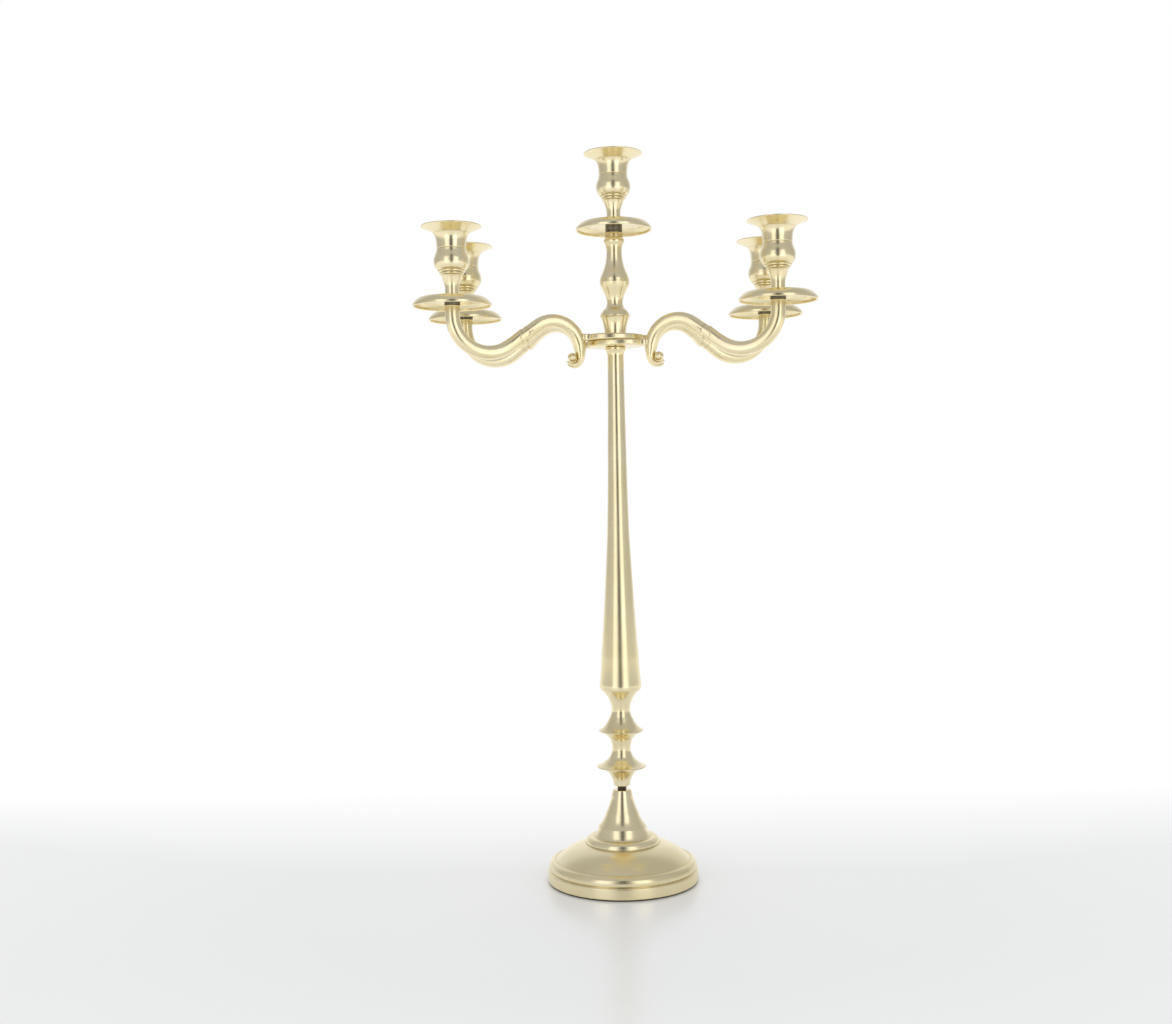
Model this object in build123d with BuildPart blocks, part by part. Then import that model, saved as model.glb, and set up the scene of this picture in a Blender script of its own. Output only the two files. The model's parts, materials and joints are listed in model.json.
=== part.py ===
from build123d import *
import os
from math import cos, radians, sin

# A tabletop candelabra with five lights: a weighted base, a turned stem, two double arms
# stacked on one stud, and a turned post for the middle light.
# Millimetres, +Z up. The origin is on the floor under the middle of the base.
# The lower double arm points to -20 and 160 degrees from +X, the upper one to 20 and 200.

# ---------------------------------------------------------------- driving dimensions
# Fits
thread_gap = 0.05             # radial gap drawn between a thread and its hole
pivot_gap = 0.05              # radial running clearance of the eyes on the hub stud
turn_gap = 0.1                # height left between two faces that turn on each other
hole_gap = 0.25               # radial clearance of a plain hole round a bolt

# Candle and cup
candle_radius = 11.0
candle_gap = 0.5              # radial clearance of the candle in its cup
candle_depth = 22.0
cup_height = 76.5
cup_foot_radius = 11.0
cup_foot_height = 1.2
cup_foot_hollow = 1.3
cup_neck_radius = 7.1
cup_neck_height = 9.0
cup_neck_hollow = 1.7
cup_belly_radius = 14.2
cup_belly_height = 30.0
cup_bulb_radius = 18.5
cup_bulb_height = 40.0
cup_bulb_swell = 0.6
cup_fall_radius = 16.8
cup_fall_height = 47.5
cup_waist_radius = 15.1
cup_waist_height = 53.0
cup_waist_hollow = 0.4
cup_flare_radius = 18.5
cup_flare_height = 69.0
cup_flare_hollow = 1.3
cup_rim_radius = 31.5
cup_rim_edge = 1.3
cup_rim_swell = 0.3
cup_wall = 2.0
cup_throat_swell = 0.6        # of the funnel above the bore

# Drip pan: a shallow dish whose rim rolls over and hangs down
pan_radius = 40.9
pan_wall = 2.2
pan_skirt = 2.8               # height of the upright outer edge
pan_crest_radius = 33.0
pan_crest_height = 9.0        # above the lower edge
pan_floor_radius = 27.0
pan_floor_height = 6.5        # top of the dish's floor above the lower edge
pan_roll = 0.6                # how far the roll of the rim stands off its chord
pan_cove = 0.7

# Studs, nut and washer
cup_stud_radius = 3.0         # M6
cup_stud_grip = 12.0          # length screwed in at each end
cup_stud_chamfer = 0.5
hub_stud_radius = 4.0         # M8
hub_stud_grip = 20.0
base_stud_radius = 5.0        # M10
base_stud_grip = 22.0         # length screwed into the stem
base_stud_tail = 3.0          # length that stands out of the nut
stud_chamfer = 0.8            # on the hub stud and the base stud
nut_flats = 16.0
nut_height = 8.0
washer_radius = 10.0
washer_thickness = 2.0

# Turned outlines: a swell is how far an arc stands proud of its chord, a hollow how far below
edge_swell = 0.5              # of every narrow turned edge

# Base
felt_thickness = 1.5
felt_inset = 1.6
base_radius = 81.0
base_wall = 4.0
base_band_height = 12.0
base_step = 1.5
base_step_height = 16.0
base_shoulder_radius = 73.5
base_shoulder_height = 23.5
base_shoulder_swell = 1.6
base_dome_radius = 40.0
base_dome_height = 41.5
base_dome_swell = 2.0
base_ring_radius = 31.5
base_ring_height = 48.0
base_ring_swell = 2.2
base_top_radius = 10.1
base_top_height = 98.4
base_neck_hollow = 3.6
base_ceiling = 58.0           # underside of the solid neck that the stud is screwed into
base_pocket_radius = 14.0

# Stem, heights above its lower end
stem_stand_off = 4.1          # bare stud between the base and the stem
stem_height = 473.0
stem_foot_radius = 9.2
stem_foot_hollow = 5.3
stem_disc_radius = 26.5
stem_disc_height = 21.2
stem_disc_edge = 2.0
stem_waist_radius = 10.0
stem_waist_height = 40.5
stem_waist_hollow = 3.95
stem_ring_radius = 23.8
stem_ring_height = 60.0
stem_ring_edge = 1.8
stem_ring_hollow = 4.4
stem_throat_radius = 9.9
stem_throat_height = 82.5
stem_throat_hollow = 3.0
stem_shoulder_radius = 22.3
stem_shoulder_height = 107.0
stem_shoulder_edge = 5.0
stem_shoulder_hollow = 3.2
stem_neck_radius = 8.7
stem_neck_height = 464.0
stem_taper_hollow = 3.6
stem_collar_radius = 10.8
stem_collar_height = 470.0
stem_collar_hollow = 0.9
stem_collar_swell = 0.3

# Hub and arms
arm_half_spread = 20.0        # degrees each double arm stands off the long axis
eye_thickness = 6.4
eye_half_width = 24.5
eye_gap = 0.6                 # between an eye and the other casting's arms
web_width = 13.0
arm_depth = 14.0              # section of the arm in its own plane
arm_width = 14.0              # section of the arm across its plane
arm_swell = 0.6               # how much thicker the outer half is
root_radius = 40.5            # centreline of the upright part beside the hub
scroll_radius = 8.8
scroll_ball_radius = 8.2
arch_radius = 29.4
arch_drop = 2.7               # centre of the arch below the stem's top
run_slope = 35.6              # degrees
run_length = 38.6
cuff_length = 12.0
cuff_lip = 1.5
cuff_sink = 0.3               # how deep the cuff's thin end runs out under the outer half
bowl_radius = 38.0
arm_rise = 10.3               # straight end above the bowl
tip_radius = 8.2
tip_height = 2.9

# Centre post, heights above its lower end
post_height = 115.7
post_foot_radius = 11.5
post_bell_radius = 15.9
post_bell_height = 19.8
post_bell_hollow = 0.9
post_throat_radius = 8.5
post_throat_height = 35.6
post_throat_hollow = 1.5
post_vase_radius = 15.7
post_vase_height = 55.6
post_vase_hollow = 0.6
post_vase_swell = 0.3
post_vase_fall_radius = 12.6
post_vase_fall_height = 67.5
post_vase_fall_swell = 0.6
post_neck_radius = 8.2
post_neck_height = 88.5
post_neck_hollow = 1.0
post_bead_radius = 10.2
post_bead_height = 97.5
post_bead_edge = 5.5
post_bead_hollow = 0.6
post_bead_swell = 0.8
post_collar_radius = 9.4
post_collar_height = 109.2
post_tip_radius = 9.0
turned_edge = 2.0             # height of a turned edge on the post

# ---------------------------------------------------------------- derived places
candle_bore = candle_radius + candle_gap
base_bottom = felt_thickness
stem_foot = base_top_height + stem_stand_off
stem_top = stem_foot + stem_height
lower_eye = stem_top + turn_gap
upper_eye = lower_eye + eye_thickness + turn_gap
post_foot = upper_eye + eye_thickness + turn_gap
centre_seat = post_foot + post_height

slope_x = sin(radians(run_slope))
slope_z = cos(radians(run_slope))
arch_x = root_radius + arch_radius
arch_z = stem_top - arch_drop
run_start = (arch_x + arch_radius * slope_x, arch_z + arch_radius * slope_z)
run_middle = (run_start[0] + run_length / 2 * slope_z, run_start[1] - run_length / 2 * slope_x)
run_end = (run_start[0] + run_length * slope_z, run_start[1] - run_length * slope_x)
bowl_x = run_end[0] + bowl_radius * slope_x
bowl_z = run_end[1] + bowl_radius * slope_z
arm_reach = bowl_x + bowl_radius
arm_top = bowl_z + arm_rise
arm_seat = arm_top + tip_height
eye_half_length = root_radius - arm_depth / 2 - eye_gap

arm_angles = {
    "lower": (-arm_half_spread, 180 - arm_half_spread),
    "upper": (arm_half_spread, 180 + arm_half_spread),
}
end_names = ("right", "left")


# ---------------------------------------------------------------- helpers
def outline(start, *runs):
    """Draw a closed outline inside a BuildLine block, with the metal on its left.

    Each run is (radius, height) for a straight line or (radius, height, swell) for an arc;
    the swell is how far the arc stands proud of its chord, negative for a hollow.
    """
    here = start
    for radius, height, *swell in runs:
        if swell:
            SagittaArc(here, (radius, height), -swell[0])
        else:
            Line(here, (radius, height))
        here = (radius, height)
    Line(here, start)


def upright(x, y, z):
    """Plane through a vertical axis at (x, y): local X is the radius, local Y the height."""
    return Plane(origin=(x, y, z), x_dir=(1, 0, 0), z_dir=(0, -1, 0))


def arm_plane(angle):
    """Vertical plane of an arm that points to the angle: local X is the radius, local Y is Z."""
    a = radians(angle)
    return Plane(origin=(0, 0, 0), x_dir=(cos(a), sin(a), 0), z_dir=(sin(a), -cos(a), 0))


def arm_end(angle):
    """Place on the floor plan of the candle at the end of the arm that points to the angle."""
    a = radians(angle)
    return arm_reach * cos(a), arm_reach * sin(a)


def save(piece, name):
    """Label a finished piece and write it as parts/NAME.step."""
    piece.part.label = name
    export_step(piece.part, f"parts/{name}.step")


os.makedirs("parts", exist_ok=True)

# ---------------------------------------------------------------- base
with BuildPart() as base:
    with BuildSketch(Plane.XZ):
        with BuildLine():
            outline(
                (base_radius - base_wall, base_bottom),
                (base_radius, base_bottom),
                (base_radius, base_band_height),
                (base_radius - base_step, base_band_height + base_step / 2),
                (base_radius - base_step, base_step_height),
                (base_shoulder_radius, base_shoulder_height, base_shoulder_swell),
                (base_shoulder_radius - base_step, base_shoulder_height),
                (base_dome_radius, base_dome_height, base_dome_swell),
                (base_ring_radius, base_ring_height, base_ring_swell),
                (base_ring_radius - base_step, base_ring_height),
                (base_top_radius, base_top_height, -base_neck_hollow),
                (base_stud_radius + thread_gap, base_top_height),
                (base_stud_radius + thread_gap, base_ceiling),
                (base_pocket_radius, base_ceiling),
                (base_pocket_radius, base_ring_height - base_wall),
                (base_dome_radius - base_wall, base_dome_height - base_wall),
                (base_shoulder_radius - base_wall, base_shoulder_height - base_wall),
                (base_radius - base_wall, base_band_height),
            )
        make_face()
    revolve(axis=Axis.Z)
save(base, "base")

with BuildPart() as base_felt:
    with BuildSketch(Plane.XY):
        Circle(base_radius - felt_inset)
    extrude(amount=felt_thickness)
save(base_felt, "base_felt")

with BuildPart() as base_washer:
    with BuildSketch(Plane.XY.offset(base_ceiling - washer_thickness)):
        Circle(washer_radius)
        Circle(base_stud_radius + hole_gap, mode=Mode.SUBTRACT)
    extrude(amount=washer_thickness)
save(base_washer, "base_washer")

nut_bottom = base_ceiling - washer_thickness - nut_height
with BuildPart() as base_nut:
    with BuildSketch(Plane.XY.offset(nut_bottom)):
        RegularPolygon(nut_flats / 2, 6, major_radius=False)
        Circle(base_stud_radius + thread_gap, mode=Mode.SUBTRACT)
    extrude(amount=nut_height)
save(base_nut, "base_nut")

base_stud_bottom = nut_bottom - base_stud_tail
with BuildPart() as base_stud:
    with BuildSketch(Plane.XY.offset(base_stud_bottom)):
        Circle(base_stud_radius)
    extrude(amount=stem_foot + base_stud_grip - base_stud_bottom)
    chamfer(base_stud.edges().filter_by(GeomType.CIRCLE), length=stud_chamfer)
save(base_stud, "base_stud")

# ---------------------------------------------------------------- stem
with BuildPart() as stem:
    with BuildSketch(upright(0, 0, stem_foot)):
        with BuildLine():
            outline(
                (0, base_stud_grip),
                (base_stud_radius + thread_gap, base_stud_grip),
                (base_stud_radius + thread_gap, 0),
                (stem_foot_radius, 0),
                (stem_disc_radius, stem_disc_height - stem_disc_edge / 2, -stem_foot_hollow),
                (stem_disc_radius, stem_disc_height + stem_disc_edge / 2, edge_swell),
                (stem_waist_radius, stem_waist_height, -stem_waist_hollow),
                (stem_ring_radius, stem_ring_height - stem_ring_edge / 2, -stem_ring_hollow),
                (stem_ring_radius, stem_ring_height + stem_ring_edge / 2, edge_swell),
                (stem_throat_radius, stem_throat_height, -stem_throat_hollow),
                (stem_shoulder_radius, stem_shoulder_height, -stem_shoulder_hollow),
                (stem_shoulder_radius, stem_shoulder_height + stem_shoulder_edge, edge_swell),
                (stem_neck_radius, stem_neck_height, -stem_taper_hollow),
                (stem_collar_radius, stem_collar_height, -stem_collar_hollow),
                (stem_collar_radius, stem_height, stem_collar_swell),
                (hub_stud_radius + thread_gap, stem_height),
                (hub_stud_radius + thread_gap, stem_height - hub_stud_grip),
                (0, stem_height - hub_stud_grip),
            )
        make_face()
    revolve(axis=Axis.Z)
save(stem, "stem")

with BuildPart() as hub_stud:
    with BuildSketch(Plane.XY.offset(stem_top - hub_stud_grip)):
        Circle(hub_stud_radius)
    extrude(amount=post_foot + hub_stud_grip - (stem_top - hub_stud_grip))
    chamfer(hub_stud.edges().filter_by(GeomType.CIRCLE), length=stud_chamfer)
save(hub_stud, "hub_stud")


# ---------------------------------------------------------------- double arms
def elliptic_section(plane, grow=0.0):
    """Sketch the arm's rounded section, grown by the given thickness all round."""
    with BuildSketch(plane) as section:
        Ellipse(arm_width / 2 + grow, arm_depth / 2 + grow)
    return section.sketch


def make_double_arm(label, angles, eye_bottom):
    """One casting: an eye on the hub stud with a scrolled arm to each side."""
    with BuildPart() as arm:
        with BuildSketch(Plane.XY.offset(eye_bottom)):
            Ellipse(eye_half_length, eye_half_width, rotation=angles[0])
            Rectangle(2 * root_radius, web_width, rotation=angles[0])
            Circle(hub_stud_radius + pivot_gap, mode=Mode.SUBTRACT)
        extrude(amount=eye_thickness)
        for angle in angles:
            side = arm_plane(angle)
            across = side.z_dir
            with BuildLine(side) as inner:
                CenterArc((root_radius + scroll_radius, arch_z), scroll_radius, 270, -90)
                CenterArc((arch_x, arch_z), arch_radius, 180, -(90 + run_slope))
                Line(run_start, run_end)
            inner_path = inner.wires()[0]
            start = Plane(origin=inner_path @ 0, x_dir=across, z_dir=inner_path % 0)
            sweep(sections=elliptic_section(start), path=inner_path)
            with Locations(start):
                Sphere(scroll_ball_radius)
            with BuildLine(side) as outer:
                Line(run_middle, run_end)
                CenterArc((bowl_x, bowl_z), bowl_radius, 270 - run_slope, 90 + run_slope)
                Line((arm_reach, bowl_z), (arm_reach, arm_top))
            outer_path = outer.wires()[0]
            start = Plane(origin=outer_path @ 0, x_dir=across, z_dir=outer_path % 0)
            sweep(sections=elliptic_section(start, arm_swell), path=outer_path)
            loft(sections=[
                elliptic_section(start, arm_swell + cuff_lip),
                elliptic_section(start.offset(cuff_length), arm_swell - cuff_sink),
            ])
        ends = [arm_end(angle) for angle in angles]
        with BuildSketch(Plane.XY.offset(arm_top)):
            with Locations(*ends):
                Circle(tip_radius)
        extrude(amount=tip_height)
        with BuildSketch(Plane.XY.offset(arm_seat - cup_stud_grip)):
            with Locations(*ends):
                Circle(cup_stud_radius + thread_gap)
        extrude(amount=cup_stud_grip, mode=Mode.SUBTRACT)
    save(arm, label)


make_double_arm("lower_arm", arm_angles["lower"], lower_eye)
make_double_arm("upper_arm", arm_angles["upper"], upper_eye)

# ---------------------------------------------------------------- centre post
with BuildPart() as centre_post:
    with BuildSketch(upright(0, 0, post_foot)):
        with BuildLine():
            outline(
                (0, hub_stud_grip),
                (hub_stud_radius + thread_gap, hub_stud_grip),
                (hub_stud_radius + thread_gap, 0),
                (post_foot_radius, 0),
                (post_bell_radius, post_bell_height - turned_edge / 2, -post_bell_hollow),
                (post_bell_radius, post_bell_height + turned_edge / 2, edge_swell),
                (post_throat_radius, post_throat_height, -post_throat_hollow),
                (post_vase_radius, post_vase_height - turned_edge / 2, -post_vase_hollow),
                (post_vase_radius, post_vase_height + turned_edge / 2, post_vase_swell),
                (post_vase_fall_radius, post_vase_fall_height, post_vase_fall_swell),
                (post_neck_radius, post_neck_height, -post_neck_hollow),
                (post_bead_radius, post_bead_height, -post_bead_hollow),
                (post_bead_radius, post_bead_height + post_bead_edge, post_bead_swell),
                (post_collar_radius, post_bead_height + post_bead_edge),
                (post_collar_radius, post_collar_height),
                (post_tip_radius, post_collar_height),
                (post_tip_radius, post_height),
                (cup_stud_radius + thread_gap, post_height),
                (cup_stud_radius + thread_gap, post_height - cup_stud_grip),
                (0, post_height - cup_stud_grip),
            )
        make_face()
    revolve(axis=Axis.Z)
save(centre_post, "centre_post")


# ---------------------------------------------------------------- lights
def make_pan(label, x, y, seat):
    """Drip pan whose floor rests on the seat; its rolled rim hangs down round it."""
    lower_edge = seat - (pan_floor_height - pan_wall)
    with BuildPart() as pan:
        with BuildSketch(upright(x, y, lower_edge)):
            with BuildLine():
                outline(
                    (pan_radius - pan_wall, 0),
                    (pan_radius, 0),
                    (pan_radius, pan_skirt),
                    (pan_crest_radius, pan_crest_height, pan_roll),
                    (pan_floor_radius, pan_floor_height, -pan_cove),
                    (cup_stud_radius + hole_gap, pan_floor_height),
                    (cup_stud_radius + hole_gap, pan_floor_height - pan_wall),
                    (pan_floor_radius, pan_floor_height - pan_wall),
                    (pan_crest_radius, pan_crest_height - pan_wall, pan_cove),
                    (pan_radius - pan_wall, pan_skirt, -pan_roll),
                )
            make_face()
        revolve(axis=Axis((x, y, 0), (0, 0, 1)))
    save(pan, label)


def make_cup(label, x, y, seat):
    """Turned candle cup that stands on the pan's floor, with a bore for a taper candle."""
    foot = seat + pan_wall
    bore_bottom = cup_waist_height + cup_wall - candle_depth
    with BuildPart() as cup:
        with BuildSketch(upright(x, y, foot)):
            with BuildLine():
                outline(
                    (0, cup_stud_grip),
                    (cup_stud_radius + thread_gap, cup_stud_grip),
                    (cup_stud_radius + thread_gap, 0),
                    (cup_foot_radius, 0),
                    (cup_foot_radius, cup_foot_height),
                    (cup_neck_radius, cup_neck_height, -cup_foot_hollow),
                    (cup_belly_radius, cup_belly_height, -cup_neck_hollow),
                    (cup_bulb_radius, cup_bulb_height, cup_bulb_swell),
                    (cup_fall_radius, cup_fall_height, cup_bulb_swell),
                    (cup_waist_radius, cup_waist_height, -cup_waist_hollow),
                    (cup_flare_radius, cup_flare_height, -cup_flare_hollow),
                    (cup_rim_radius, cup_height - cup_rim_edge),
                    (cup_rim_radius, cup_height, cup_rim_swell),
                    (cup_rim_radius - cup_wall, cup_height),
                    (cup_flare_radius - cup_wall, cup_flare_height + cup_wall / 2),
                    (candle_bore, cup_waist_height + cup_wall, cup_throat_swell),
                    (candle_bore, bore_bottom),
                    (0, bore_bottom),
                )
            make_face()
        revolve(axis=Axis((x, y, 0), (0, 0, 1)))
    save(cup, label)


def make_cup_stud(label, x, y, seat):
    """Stud that holds a cup and its pan on the seat."""
    with BuildPart() as stud:
        with BuildSketch(Plane.XY.offset(seat - cup_stud_grip)):
            with Locations((x, y)):
                Circle(cup_stud_radius)
        extrude(amount=2 * cup_stud_grip + pan_wall)
        chamfer(stud.edges().filter_by(GeomType.CIRCLE), length=cup_stud_chamfer)
    save(stud, label)


lights = {"centre": (0, 0, centre_seat)}
for casting, angles in arm_angles.items():
    for end_name, angle in zip(end_names, angles):
        lights[f"{casting}_{end_name}"] = (*arm_end(angle), arm_seat)
for light, place in lights.items():
    make_pan(f"{light}_pan", *place)
    make_cup(f"{light}_cup", *place)
    make_cup_stud(f"{light}_cup_stud", *place)

print(f"arm reach {arm_reach:.2f}  arm seat {arm_seat:.2f}  overall {centre_seat + pan_wall + cup_height:.2f}")
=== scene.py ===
"""Looks of a five-light tabletop candelabra in polished, champagne-gold plated metal.

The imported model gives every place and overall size.  Turned pieces are outlines swept round an
axis, the scrolled arms are rounded sections carried along a path, and all of them are worked
out with numpy.  Lengths in the classes are millimetres; meshes are written in metres.
"""
import json
import logging
import math
from dataclasses import dataclass, field
from enum import Enum

import bpy
import numpy as np
from mathutils import Matrix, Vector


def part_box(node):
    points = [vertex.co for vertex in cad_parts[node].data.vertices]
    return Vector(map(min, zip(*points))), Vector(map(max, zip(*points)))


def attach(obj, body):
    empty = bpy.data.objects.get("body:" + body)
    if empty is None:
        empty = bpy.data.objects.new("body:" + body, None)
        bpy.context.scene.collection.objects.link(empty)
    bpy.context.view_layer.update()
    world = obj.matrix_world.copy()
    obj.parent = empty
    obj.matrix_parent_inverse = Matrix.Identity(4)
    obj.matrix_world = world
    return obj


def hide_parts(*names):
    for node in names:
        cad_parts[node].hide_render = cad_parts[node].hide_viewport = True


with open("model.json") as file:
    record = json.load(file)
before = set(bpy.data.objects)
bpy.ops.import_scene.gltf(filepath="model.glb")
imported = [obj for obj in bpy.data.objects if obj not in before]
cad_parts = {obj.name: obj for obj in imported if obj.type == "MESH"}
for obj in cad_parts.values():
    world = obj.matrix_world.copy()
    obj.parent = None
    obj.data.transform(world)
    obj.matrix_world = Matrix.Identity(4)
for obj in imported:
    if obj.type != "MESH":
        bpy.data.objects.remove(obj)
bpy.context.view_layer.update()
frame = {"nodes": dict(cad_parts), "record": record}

MM = 0.001
CUP_STUD_HOLE = 3.05
HUB_STUD_HOLE = 4.05
BASE_STUD_HOLE = 5.05
CUP_STUD_GRIP = 12.0
HUB_STUD_GRIP = 20.0
LOG = logging.getLogger("candelabra")
Point = tuple[float, ...]


# ------------------------------------------------------------------ finishes
class Surface(Enum):
    """How a metal piece was finished before it was plated."""

    TURNED = "turned"
    CAST = "cast"


class Slot(Enum):
    """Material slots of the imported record."""

    GOLD = "champagne_gold"
    STEEL = "fastener_steel"
    FELT = "base_felt"


class NodeTree:
    """Short calls for wiring one material's shader nodes."""

    def __init__(self, name: str) -> None:
        """Start an empty node material.

        Args:
            name: The material's name.
        """
        self.material = bpy.data.materials.new(name)
        self.material.use_nodes = True
        self.tree = self.material.node_tree
        self.tree.nodes.clear()
        self.output = self.add("ShaderNodeOutputMaterial")
        self.shader = self.add("ShaderNodeBsdfPrincipled")
        self.link(self.shader, "BSDF", self.output, "Surface")
        self.coordinates = self.add("ShaderNodeTexCoord")

    def add(self, kind: str, **settings: object) -> bpy.types.Node:
        """Add a node and set its sockets or properties.

        Args:
            kind: The node's Blender type.
            settings: Socket names, with _ for a space, or property names, and their values.

        Returns:
            The new node.
        """
        node = self.tree.nodes.new(kind)
        for key, value in settings.items():
            socket = key.replace("_", " ")
            if socket in node.inputs:
                node.inputs[socket].default_value = value
            else:
                setattr(node, key, value)
        return node

    def link(self, source: bpy.types.Node, out: str | int, target: bpy.types.Node,
             into: str | int) -> None:
        """Join one node's output to another's input."""
        self.tree.links.new(source.outputs[out], target.inputs[into])

    def placed(self, scale: Point) -> bpy.types.Node:
        """Give object coordinates, stretched.

        Args:
            scale: Factor along X, Y and Z.

        Returns:
            A mapping node whose output is the stretched position.
        """
        mapping = self.add("ShaderNodeMapping")
        mapping.inputs["Scale"].default_value = scale
        self.link(self.coordinates, "Object", mapping, "Vector")
        return mapping

    def noise(self, scale: float, detail: float = 3.0, stretch: Point = (1.0, 1.0, 1.0)) -> bpy.types.Node:
        """Add a noise texture on object coordinates.

        Args:
            scale: Number of features in a metre.
            detail: Octaves.
            stretch: Factor along X, Y and Z before the scale.

        Returns:
            The noise node.
        """
        node = self.add("ShaderNodeTexNoise", Scale=scale, Detail=detail)
        self.link(self.placed(stretch), "Vector", node, "Vector")
        return node

    def spread(self, source: bpy.types.Node, out: str, low: Point, high: Point) -> bpy.types.Node:
        """Map a texture's value range onto another, clamped.

        Args:
            source: The node to read.
            out: The name of its output.
            low: Lowest value in and what it becomes.
            high: Highest value in and what it becomes.

        Returns:
            The map-range node.
        """
        node = self.add("ShaderNodeMapRange")
        node.inputs["From Min"].default_value, node.inputs["To Min"].default_value = low
        node.inputs["From Max"].default_value, node.inputs["To Max"].default_value = high
        self.link(source, out, node, "Value")
        return node

    def blended(self, factor: bpy.types.Node, out: str | int, first: Point, second: Point) -> bpy.types.Node:
        """Mix two colours by a node's value.

        Args:
            factor: The node that gives the share of the second colour.
            out: Its output.
            first: Linear colour at 0.
            second: Linear colour at 1.

        Returns:
            The mixing node, whose output 2 is the colour.
        """
        node = self.add("ShaderNodeMix", data_type="RGBA")
        node.inputs[6].default_value = (*first, 1.0)
        node.inputs[7].default_value = (*second, 1.0)
        self.link(factor, out, node, 0)
        return node

    def raised(self, source: bpy.types.Node, out: str | int, depth: float, strength: float,
               under: bpy.types.Node | None = None) -> bpy.types.Node:
        """Add a bump from a texture on top of another bump.

        Args:
            source: The node that gives the height.
            out: Its output.
            depth: Height of the relief in metres.
            strength: Share of the relief that shows.
            under: A bump node below this one.

        Returns:
            The bump node.
        """
        node = self.add("ShaderNodeBump", Strength=strength, Distance=depth)
        self.link(source, out, node, "Height")
        if under is not None:
            self.link(under, "Normal", node, "Normal")
        return node


@dataclass(frozen=True)
class PlatedGold:
    """Pale champagne-gold plate on polished metal, turned or cast."""

    surface: Surface
    bright: Point = (0.93, 0.825, 0.555)
    warm: Point = (0.87, 0.76, 0.46)
    hollow_shade: Point = (0.50, 0.39, 0.17)

    def material(self) -> bpy.types.Material:
        """Build the plate: patchy tone, painted shade in the hollows broken up by noise, buffing haze, tool
        rings or cast skin, and pits.

        Returns:
            The material.
        """
        tree = NodeTree(f"champagne_gold_{self.surface.value}")
        turned = self.surface is Surface.TURNED
        patches = tree.noise(14.0, 4.0)
        share = tree.spread(patches, "Fac", (0.35, 0.0), (0.65, 1.0))
        tone = tree.blended(share, "Result", self.bright, self.warm)
        # Painted shade: the hollow value, broken up by noise, darkens concave corners and leaf grooves
        # towards a dark brown.
        hollow = tree.add("ShaderNodeAttribute", attribute_name="hollow")
        shade_breakup = tree.noise(420.0, 5.0)
        shade_patches = tree.spread(shade_breakup, "Fac", (0.25, 0.25), (0.7, 0.75))
        depth = tree.add("ShaderNodeMath", operation="MULTIPLY")
        tree.link(hollow, "Fac", depth, 0)
        tree.link(shade_patches, "Result", depth, 1)
        colour = tree.add("ShaderNodeMix", data_type="RGBA")
        colour.inputs[7].default_value = (*self.hollow_shade, 1.0)
        tree.link(depth, "Value", colour, 0)
        tree.link(tone, 2, colour, 6)
        tree.link(colour, 2, tree.shader, "Base Color")

        haze = tree.noise(55.0, 6.0, (1.0, 1.0, 0.25))
        rough = tree.spread(haze, "Fac", (0.3, 0.19), (0.7, 0.27 if turned else 0.31))
        tree.link(rough, "Result", tree.shader, "Roughness")

        skin = tree.noise(130.0, 3.0)
        relief = tree.raised(skin, "Fac", 0.00006 if turned else 0.00009, 0.35)
        if turned:
            rings = tree.noise(1.0, 2.0, (6.0, 6.0, 2600.0))
            relief = tree.raised(rings, "Fac", 0.000012, 0.5, relief)
        pits = tree.add("ShaderNodeTexVoronoi", Scale=150.0)
        tree.link(tree.placed((1.0, 1.0, 1.0)), "Vector", pits, "Vector")
        dots = tree.spread(pits, "Distance", (0.0, 0.0), (0.05, 1.0))
        relief = tree.raised(dots, "Result", 0.00006, 0.5, relief)
        tree.link(relief, "Normal", tree.shader, "Normal")
        tree.shader.inputs["Metallic"].default_value = 1.0
        return tree.material


@dataclass(frozen=True)
class DarkSteel:
    """Oiled dark steel of the studs, washer and nut, also used as painted shade for the dark rings under the
    pans.
    """

    colour: Point = (0.13, 0.12, 0.10)
    worn: Point = (0.26, 0.24, 0.21)

    def material(self) -> bpy.types.Material:
        """Build the steel: blotches of oil and fine drawn scratches.

        Returns:
            The material.
        """
        tree = NodeTree("fastener_steel")
        blotch = tree.noise(240.0, 5.0)
        share = tree.spread(blotch, "Fac", (0.4, 0.0), (0.7, 1.0))
        tone = tree.blended(share, "Result", self.colour, self.worn)
        tree.link(tone, 2, tree.shader, "Base Color")
        rough = tree.spread(blotch, "Fac", (0.3, 0.28), (0.7, 0.48))
        tree.link(rough, "Result", tree.shader, "Roughness")
        scratches = tree.noise(900.0, 4.0, (1.0, 1.0, 0.1))
        relief = tree.raised(scratches, "Fac", 0.00003, 0.4)
        tree.link(relief, "Normal", tree.shader, "Normal")
        tree.shader.inputs["Metallic"].default_value = 1.0
        return tree.material


@dataclass(frozen=True)
class WoolFelt:
    """Dark olive felt glued under the base."""

    dark: Point = (0.018, 0.020, 0.010)
    light: Point = (0.060, 0.062, 0.036)

    def material(self) -> bpy.types.Material:
        """Build the felt: matted fibres in two tones, with a soft sheen.

        Returns:
            The material.
        """
        tree = NodeTree("base_felt")
        fibres = tree.noise(1500.0, 6.0)
        share = tree.spread(fibres, "Fac", (0.35, 0.0), (0.7, 1.0))
        tone = tree.blended(share, "Result", self.dark, self.light)
        tree.link(tone, 2, tree.shader, "Base Color")
        relief = tree.raised(fibres, "Fac", 0.0004, 0.8)
        tree.link(relief, "Normal", tree.shader, "Normal")
        tree.shader.inputs["Roughness"].default_value = 0.95
        tree.shader.inputs["Sheen Weight"].default_value = 0.3
        return tree.material


@dataclass(frozen=True)
class Finishes:
    """The materials that the pieces share."""

    turned: bpy.types.Material = field(default_factory=lambda: PlatedGold(Surface.TURNED).material())
    cast: bpy.types.Material = field(default_factory=lambda: PlatedGold(Surface.CAST).material())
    steel: bpy.types.Material = field(default_factory=lambda: DarkSteel().material())
    felt: bpy.types.Material = field(default_factory=lambda: WoolFelt().material())


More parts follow.
